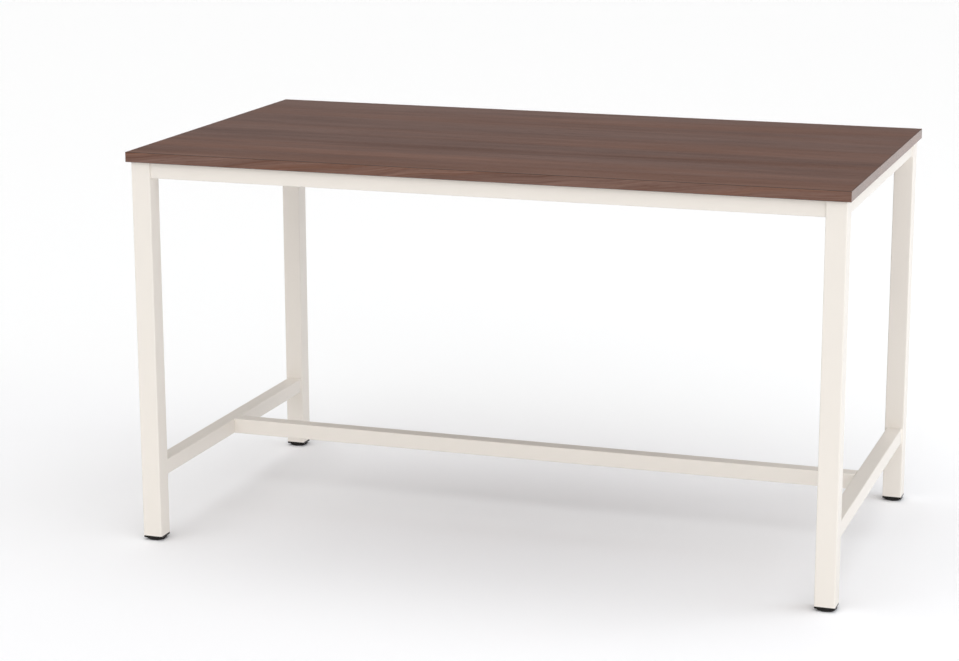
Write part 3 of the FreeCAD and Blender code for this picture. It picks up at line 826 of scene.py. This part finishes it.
def tube_faces(rows, columns, ring):
    """Faces of a grid that closes round its columns.

    With ring set the last row joins the first, as in a hoop. Otherwise each end is closed with one
    face that has all the points of its row.
    """
    column = np.arange(columns)
    following = np.roll(column, -1)
    row = np.arange(rows if ring else rows - 1)[:, None] * columns
    above = (row + columns) % (rows * columns)
    quads = np.stack([row + column, row + following, above + following, above + column], -1)
    faces = quads.reshape(-1, 4).tolist()
    if not ring:
        faces += [column[::-1].tolist(), (column + (rows - 1) * columns).tolist()]
    return faces


def facing_out(points, faces):
    """The faces of a closed grid, turned over if they point inwards.

    Each four-sided face and the grid's middle span a volume, which is the dot product of the face's
    first point with the cross product of its diagonals, over six. The sum of these volumes is
    negative if the faces point inwards.
    """
    quads = (points - points.mean(0))[np.array([face for face in faces if len(face) == 4])]
    diagonals = np.cross(quads[:, 2] - quads[:, 0], quads[:, 3] - quads[:, 1])
    return faces if (quads[:, 0] * diagonals).sum() > 0 else [face[::-1] for face in faces]


def add_piece(name, grids, material, body, flat_angle=FLAT_ANGLE):
    """Piece made of one or more closed grids, given as pairs of points and faces."""
    points, faces, start = [], [], 0
    for grid_points, grid_faces in grids:
        flat = grid_points.reshape(-1, 3)
        points.append(flat)
        faces += [[index + start for index in face] for face in facing_out(flat, grid_faces)]
        start += len(flat)
    mesh = bpy.data.meshes.new(name)
    mesh.from_pydata(np.concatenate(points).tolist(), [], faces)
    mesh.shade_smooth()
    mesh.set_sharp_from_angle(angle=math.radians(flat_angle))
    mesh.materials.append(material)
    piece = bpy.data.objects.new(name, mesh)
    bpy.context.scene.collection.objects.link(piece)
    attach(piece, body)
    print(name, "has", len(mesh.polygons), "faces")
    return piece


print("grid helpers are ready")

# %% [markdown]
# ## Weld beads
#
# The end frames are welded: a bead of melted steel fills the corner where a rail meets a leg. The
# welder moves in small steps, and each step leaves a ripple shaped like a crescent. A bead is a
# section carried along the joint line. The section is a corner with a rounded outer side, and its
# size swells and shrinks with the ripples. The powder coat softens them, so they are low. No hand is
# quite steady, so a smoothed random wobble is added to the size.

# %% Define a weld bead
BEAD_SINK = 0.3 * MM        # how deep its hidden side lies in the steel
BEAD_ROUND = 1.3            # 1 is a flat bead, 2 a quarter circle
BEAD_COLUMNS = 8            # points round the outer side
POINT_STEP = 0.4 * MM       # from one section to the next
RIPPLE_STEP = 1.9 * MM
RIPPLE_HEIGHT = 0.05        # share of the bead's size
RIPPLE_LAG = 0.35           # share of a ripple that the crescent's tips lag behind its middle
WOBBLE_HEIGHT = 0.10
WOBBLE_POINTS = 9           # sections that the wobble is smoothed over
TAPER = 1.5                 # length of a bead's thinning ends, in bead sizes
THINNEST = 0.02             # square of the size at the very end, where 1 is full


def bead(line, away, along_rail, leg, ring, seed):
    """Grid of a bead along a line of points, with its faces.

    Each point's section is spanned by two directions, one away from the rail along the leg and one
    along the rail. Its outer side is |u|^p + |v|^p = leg^p with p = BEAD_ROUND, so at angle t it has
    u = leg cos(t)^(2/p) and v = leg sin(t)^(2/p). Both of its edges and its last column are sunk. A
    bead that is no ring thins out at both ends, as the square root of the distance to the end.
    """
    count = len(line)
    travel = POINT_STEP * np.arange(count)[:, None]
    ripples = round(count * POINT_STEP / RIPPLE_STEP)
    turn = np.linspace(0, np.pi / 2, BEAD_COLUMNS)[None, :]
    lag = RIPPLE_LAG * np.cos(2 * turn) ** 2
    ripple = np.cos(2 * np.pi * (ripples * np.arange(count)[:, None] / count + lag))
    wobble = np.random.default_rng(seed).normal(0, 1, (count, 1))
    wobble = sum(np.roll(wobble, shift, axis=0) for shift in range(WOBBLE_POINTS)) / WOBBLE_POINTS
    size = leg * (1 + RIPPLE_HEIGHT * ripple + WOBBLE_HEIGHT * wobble)
    if not ring:
        to_end = np.minimum(travel, travel[-1] - travel) / (TAPER * leg)
        size = size * np.sqrt(np.clip(to_end, THINNEST, 1))
    u = size * np.cos(turn) ** (2 / BEAD_ROUND)
    v = size * np.sin(turn) ** (2 / BEAD_ROUND)
    u[:, -1], v[:, 0] = -BEAD_SINK, -BEAD_SINK
    sunk = np.full((count, 1), -BEAD_SINK)
    u, v = np.concatenate([u, sunk], 1), np.concatenate([v, sunk], 1)
    points = line[:, None] + u[..., None] * away[:, None] + v[..., None] * along_rail[None, None]
    return points, tube_faces(count, BEAD_COLUMNS + 1, ring)


print("weld beads are ready")

# %% [markdown]
# A bead has to follow the joint it fills. At the end of a rail that is a square with rounded corners.
# Its points are worked out at even steps, because the ripples would bunch up if they were closer
# together at the corners. For that the outline is measured along its length first, and then read off
# at even lengths.

# %% Lay the line of a joint round a rail
TUBE_CORNER = 3 * MM        # outer corner radius of the square tubes
CORNER_POINTS = 7
OPEN_TOP = 1.5              # corner radii below the rail's top where a bead with an open top ends


def around_rail(half, radius, open_top):
    """Points and outward directions, at even steps round a square rail with rounded corners.

    The direction turns a quarter at each corner, where the point is the corner's middle plus radius
    times the direction. Between corners the direction stays. The walk starts on the top side, and
    where the top is open, as under the board, the top side and its corners are left out.
    """
    turn = np.linspace(0, np.pi / 2, CORNER_POINTS)
    angle = np.pi / 2 + turn[None, :] + np.pi / 2 * np.arange(4)[:, None]
    diagonal = angle.mean(1, keepdims=True)
    x = (half - radius) * np.sqrt(2) * np.cos(diagonal) + radius * np.cos(angle)
    z = (half - radius) * np.sqrt(2) * np.sin(diagonal) + radius * np.sin(angle)
    x, z = np.append(x, x[0, 0]), np.append(z, z[0, 0])
    angle = np.append(angle, angle[0, 0] + 2 * np.pi)
    travel = np.append(0, np.cumsum(np.hypot(np.diff(x), np.diff(z))))
    even = np.linspace(0, travel[-1], round(travel[-1] / POINT_STEP), endpoint=False)
    x, z, angle = (np.interp(even, travel, values) for values in (x, z, angle))
    if open_top:
        kept = z < half - OPEN_TOP * radius
        x, z, angle = x[kept], z[kept], angle[kept]
    nothing = np.zeros_like(x)
    return np.stack([x, nothing, z], -1), np.stack([np.cos(angle), nothing, np.sin(angle)], -1)


print("points round a rail:", len(around_rail(rail_side / 2, TUBE_CORNER, False)[0]))

# %% [markdown]
# Each end frame has a foot rail and a top rail between its two legs, so a bead goes round both ends of
# four rails. The top rails touch the board, where no bead can be. The beads lie against the leg's
# face, and every one has a random seed of its own, so that no two wobble alike.

# %% Weld the end frames
# The side and the end of each corner: -1 is left or front, and 1 is right or back.
CORNERS = {"front_left": (-1, -1), "front_right": (1, -1), "back_left": (-1, 1), "back_right": (1, 1)}
RAIL_BEAD_LEG = 2.8 * MM    # how far a bead reaches along each surface
WELD_FLAT_ANGLE = 60        # larger, as a bead is smooth but for its hidden side and its ends
TOP_RAIL_SEED, FOOT_RAIL_SEED = 20, 10


def middle_height(low, high):
    """Height halfway between two corners of a box."""
    return (low.z + high.z) / 2


def weld_rail(name, side, end, rail_z, open_top, seed):
    """Bead round the end of a rail. Side is -1 for the left rail, end is -1 for its front end."""
    line, away = around_rail(rail_side / 2, TUBE_CORNER, open_top)
    leg_face = end * (leg_y - (leg_high.y - leg_low.y) / 2)
    line = line + np.array([side * leg_x, leg_face, rail_z])
    grid = bead(line, away, np.array([0.0, -end, 0.0]), RAIL_BEAD_LEG, not open_top, seed)
    add_piece(name, [grid], powder, "table", flat_angle=WELD_FLAT_ANGLE)


foot_rail_z = middle_height(foot_rail_low, foot_rail_high)
top_rail_z = middle_height(top_rail_low, top_rail_high)
for number, (corner, (side, end)) in enumerate(CORNERS.items()):
    weld_rail("weld_foot_rail_" + corner, side, end, foot_rail_z, open_top=False,
              seed=FOOT_RAIL_SEED + number)
    weld_rail("weld_top_rail_" + corner, side, end, top_rail_z, open_top=True,
              seed=TOP_RAIL_SEED + number)

# %% [markdown]
# The small angles that carry the board are welded to the rails too, with a short bead up each side.
# Where they are is read from the lowest points of the angles' own mesh: two of each angle's points
# lie against a rail, and a bead goes up from each of them.

# %% Weld the fixing angles to the rails
ANGLE_BEAD_LEG = 2.2 * MM
ANGLE_BEAD_LENGTH = 17 * MM
ANGLE_BEAD_START = 3 * MM   # above the angle's lowest point
ANGLE_SEED = 40
ROUNDING = 5                # decimals of a metre that tell two points apart


def angle_feet():
    """Lowest points of the fixing angles on the long rails and on the end rails.

    Of all the lowest points, those that lie in the plane of a rail's inner face are kept. They are put
    in order along each rail, so that the two points of one angle follow each other.
    """
    mesh = frame["nodes"]["top_fixing_angles"].data
    points = np.empty(3 * len(mesh.vertices))
    mesh.vertices.foreach_get("co", points)
    points = np.unique(points.reshape(-1, 3).round(ROUNDING), axis=0)
    points = points[points[:, 2] == points[:, 2].min()]
    rail_x, rail_y = (round(place - rail_side / 2, ROUNDING) for place in (leg_x, leg_y))
    at_long = points[np.abs(points[:, 1]) == rail_y]
    at_end = points[np.abs(points[:, 0]) == rail_x]
    along_long = np.lexsort((at_long[:, 0], at_long[:, 1]))
    along_end = np.lexsort((at_end[:, 1], at_end[:, 0]))
    return at_long[along_long], at_end[along_end]


def angle_bead(foot, across, number):
    """Upright bead beside one edge of an angle. Across is the axis that runs along the rail: 0 or 1.

    The feet are in order along the rail, so even ones are an angle's near edge, and the bead lies on
    the near side of that. Odd ones are its far edge.
    """
    height = np.arange(0, ANGLE_BEAD_LENGTH, POINT_STEP) + ANGLE_BEAD_START
    line = foot[None, :] + height[:, None] * np.array([0.0, 0.0, 1.0])
    away = np.zeros(3)
    away[across] = -1.0 if number % 2 == 0 else 1.0
    inwards = np.zeros(3)
    inwards[1 - across] = -np.sign(foot[1 - across])
    away = np.tile(away, (len(line), 1))
    return bead(line, away, inwards, ANGLE_BEAD_LEG, False, ANGLE_SEED + number)


def weld_angles(name, feet, across):
    """One piece with all the beads of the angles on the rails that run along one axis."""
    grids = [angle_bead(foot, across, number) for number, foot in enumerate(feet)]
    add_piece(name, grids, powder, "table", flat_angle=WELD_FLAT_ANGLE)


long_feet, end_feet = angle_feet()
weld_angles("weld_angles_long_rails", long_feet, 0)
weld_angles("weld_angles_end_rails", end_feet, 1)

# %% [markdown]
# ## Threaded feet
#
# Each foot stands on a threaded stem, so that the table can be levelled. Turning it by its hexagon
# moves the pad up or down by one pitch a turn. In the construction model the stem is smooth. Here it
# gets its thread, which is a groove that climbs as it goes round: at height z and angle t, what
# counts is z over the pitch minus t over a whole turn. The crest is where that is near a whole number,
# and the groove is halfway between. A thread that climbs as the angle grows is right-handed. The
# Screw modifier could sweep such a groove, but it would end bluntly. As a radius it is easily held
# within the cone that chamfers the tip.

# %% Define the thread and the hexagon
STEM_RADIUS = 4 * MM
PITCH = 1.25 * MM
THREAD_DEPTH = 0.6134 * PITCH           # as deep as the groove of a metric screw
HALF_CREST, FLANK = 1 / 16, 5 / 16      # width of half the crest and of one flank, in pitches
TIP_CHAMFER = 0.8 * MM
HEXAGON_FLATS, HEXAGON_HEIGHT = 13 * MM, 4 * MM
CONE_SLOPE = math.tan(math.pi / 6)      # of the cones that turn off the hexagon's corners


def thread_radius(z, angle, top):
    """Radius of the shank: a crest an eighth of the pitch wide, straight flanks, a wider root.

    The distance from the crest is that of z/pitch - angle/turn from the nearest whole number. The
    depth is 0 up to half a crest from there, and grows evenly over one flank. The tip is chamfered,
    so near the top the radius is no more than that of a cone.
    """
    from_crest = np.abs((z / PITCH - angle / (2 * np.pi) + 0.5) % 1 - 0.5)
    depth = THREAD_DEPTH * np.clip((from_crest - HALF_CREST) / FLANK, 0, 1)
    return np.minimum(STEM_RADIUS - depth, STEM_RADIUS - TIP_CHAMFER + np.maximum(top - z, 0))


def hexagon_radius(z, angle, low, high):
    """Radius of a hexagon with its corners turned off.

    It is half its flats over the cosine of the angle from the middle of the flat, and no more than a
    cone that opens from each end.
    """
    sixth = np.pi / 3
    hexagon = HEXAGON_FLATS / 2 / np.cos(angle % sixth - sixth / 2)
    cone = HEXAGON_FLATS / 2 + np.minimum(z - low, high - z) / CONE_SLOPE
    return np.minimum(hexagon, cone)


print(f"thread {2 * STEM_RADIUS / MM:.0f} mm wide, groove {THREAD_DEPTH / MM:.2f} mm deep")

# %% [markdown]
# One grid of heights and angles makes the whole stem, because the head, the neck, the hexagon and the
# shank are all radii that depend on height and angle. The finished stem stands for the smooth one of
# the construction model, which is hidden, and it rides on the same body.

# %% Turn the threaded stems
THREAD_ROWS_PER_TURN = 8
STEM_COLUMNS = 48
HEAD_RADIUS, HEAD_HEIGHT = 6.5 * MM, 2.5 * MM
HEXAGON_GAP = 0.3 * MM      # from the top of the pad up to the hexagon
EDGE = 0.4 * MM             # height of the chamfer of the head and the hexagon
EDGE_ROWS = (0, 0.25, 0.5, 1.0)         # shares of the hexagon's chamfer that have a row of points


def stem_grid(x, y, low, hexagon_low, high):
    """Grid of a whole stem that stands at x and y, from its lower end to its upper end.

    At height z and angle t its point is (x + r cos t, y + r sin t, z). The radius r is that of the
    head, the neck, the hexagon or the shank, whichever is at that height.
    """
    angle = np.linspace(0, 2 * np.pi, STEM_COLUMNS, endpoint=False)[None, :]
    hexagon_high = hexagon_low + HEXAGON_HEIGHT
    head_top = low + HEAD_HEIGHT
    full = np.ones_like(angle)
    head_z = np.array([[low], [low + EDGE], [head_top - EDGE], [head_top]])
    head = np.array([[HEAD_RADIUS - EDGE], [HEAD_RADIUS], [HEAD_RADIUS], [HEAD_RADIUS - EDGE]]) * full
    neck_z = np.array([[head_top], [hexagon_low]])
    neck = np.full((2, 1), STEM_RADIUS) * full
    bevel = np.array(EDGE_ROWS)[:, None] * EDGE
    hexagon_z = np.concatenate([hexagon_low + bevel, hexagon_high - bevel[::-1]])
    hexagon = hexagon_radius(hexagon_z, angle, hexagon_low, hexagon_high)
    rows = round((high - hexagon_high) / PITCH * THREAD_ROWS_PER_TURN) + 1
    shank_z = np.linspace(hexagon_high, high, rows)[:, None]
    shank = thread_radius(shank_z, angle, high)
    z = np.concatenate([head_z, neck_z, hexagon_z, shank_z])
    radius = np.concatenate([head, neck, hexagon, shank])
    points = np.stack([x + radius * np.cos(angle), y + radius * np.sin(angle), z + 0 * radius], -1)
    return points, tube_faces(len(z), STEM_COLUMNS, False)


for corner, (side, end) in CORNERS.items():
    node = "foot_stem_" + corner
    stem_low, stem_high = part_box(node)
    pad_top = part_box("foot_pad_" + corner)[1].z
    grid = stem_grid(side * leg_x, end * leg_y, stem_low.z, pad_top + HEXAGON_GAP, stem_high.z)
    stem = add_piece("threaded_stem_" + corner, [grid], zinc, "stem_" + corner)
    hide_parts(node)
